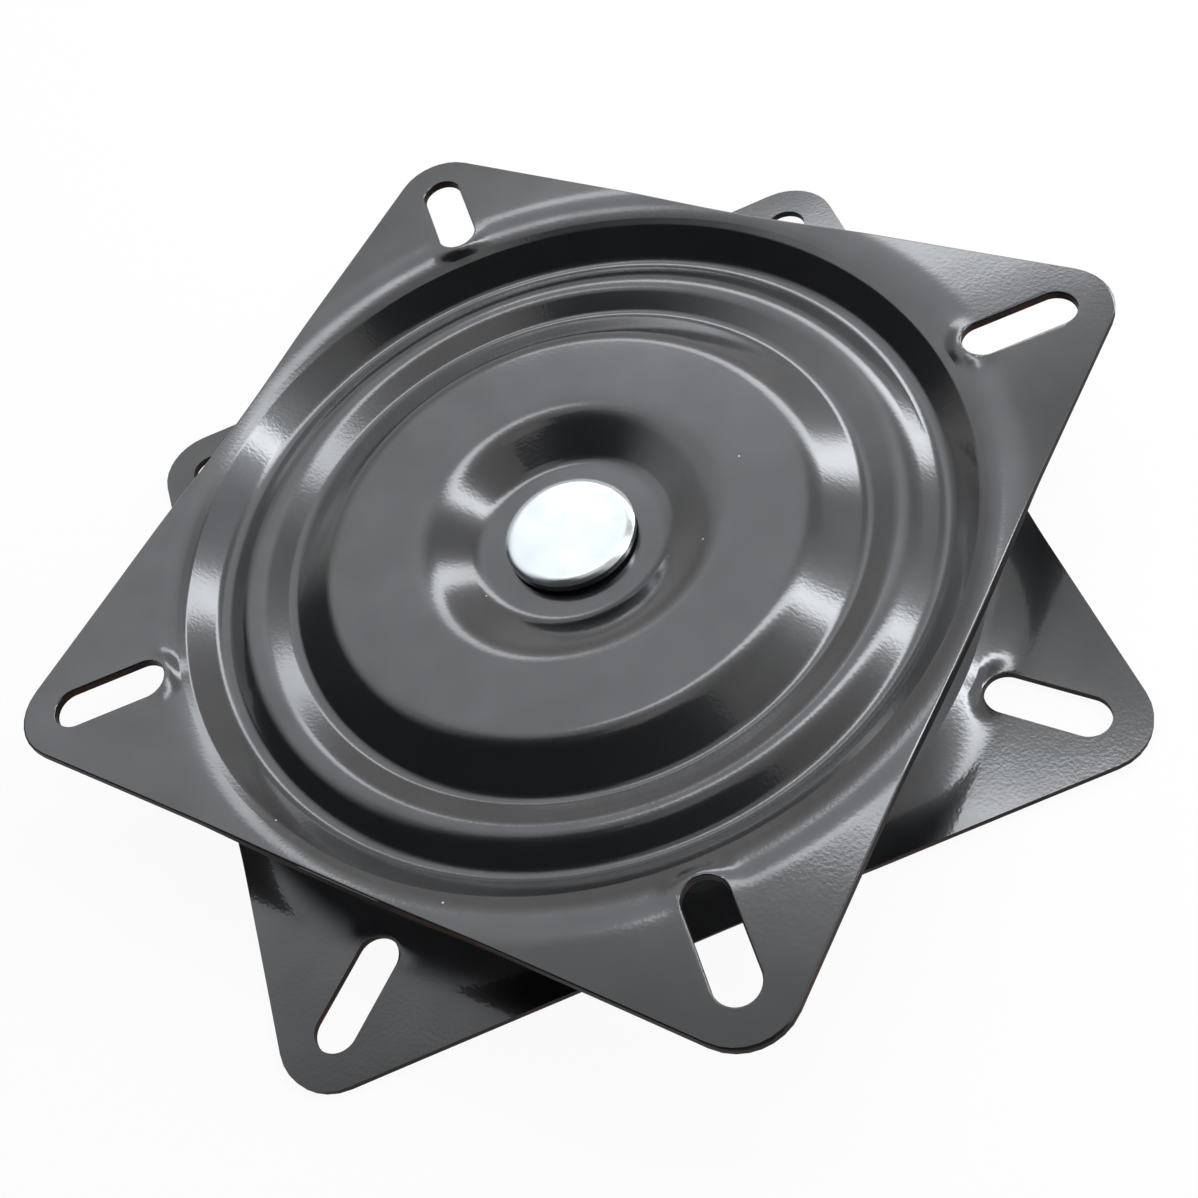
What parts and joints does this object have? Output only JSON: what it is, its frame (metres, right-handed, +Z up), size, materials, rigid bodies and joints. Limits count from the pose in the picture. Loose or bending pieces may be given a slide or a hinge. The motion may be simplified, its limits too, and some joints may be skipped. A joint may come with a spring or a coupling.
{
  "type": "seat swivel plate",
  "caption": "Square ball-bearing swivel of two pressed steel plates with slotted ears, held by a centre rivet, that lets a seat turn on its base.",
  "frame": {"origin": "on the swivel axis, in the plane that the bottom plate's ears stand on", "axes": "+Z up the swivel axis towards the seat; the bottom plate's corners lie on X and Y"},
  "size_m": [0.2418, 0.2418, 0.0262],
  "materials": {
    "black_coated_steel": "gloss",
    "zinc_plated_steel": "bright",
    "ball_steel": "polished",
    "cage_steel": "oiled",
    "washer_nylon": "matte"
  },
  "bodies": {
    "base": {"bottom_plate": "black_coated_steel", "centre_rivet": "zinc_plated_steel", "head_washer": "washer_nylon", "spacer_washer": "washer_nylon", "tail_washer": "zinc_plated_steel"},
    "top": {"top_plate": "black_coated_steel"},
    "ball_ring": {"ball_cage": "cage_steel", "bearing_ball_01": "ball_steel", "bearing_ball_02": "ball_steel", "bearing_ball_03": "ball_steel", "bearing_ball_04": "ball_steel", "bearing_ball_05": "ball_steel", "bearing_ball_06": "ball_steel", "bearing_ball_07": "ball_steel", "bearing_ball_08": "ball_steel", "bearing_ball_09": "ball_steel", "bearing_ball_10": "ball_steel", "bearing_ball_11": "ball_steel", "bearing_ball_12": "ball_steel", "bearing_ball_13": "ball_steel", "bearing_ball_14": "ball_steel", "bearing_ball_15": "ball_steel", "bearing_ball_16": "ball_steel", "bearing_ball_17": "ball_steel", "bearing_ball_18": "ball_steel", "bearing_ball_19": "ball_steel", "bearing_ball_20": "ball_steel"}
  },
  "joints": [
    {"name": "seat_swivel", "type": "hinge", "parent": "base", "child": "top", "pos_m": [0, 0, 0.0131], "axis": [0, 0, 1], "continuous": true},
    {"name": "ball_ring_turn", "type": "hinge", "parent": "base", "child": "ball_ring", "pos_m": [0, 0, 0.0131], "axis": [0, 0, 1], "continuous": true}
  ],
  "couplings": [
    {"joint": "ball_ring_turn", "follows": "seat_swivel", "ratio": 0.5}
  ]
}
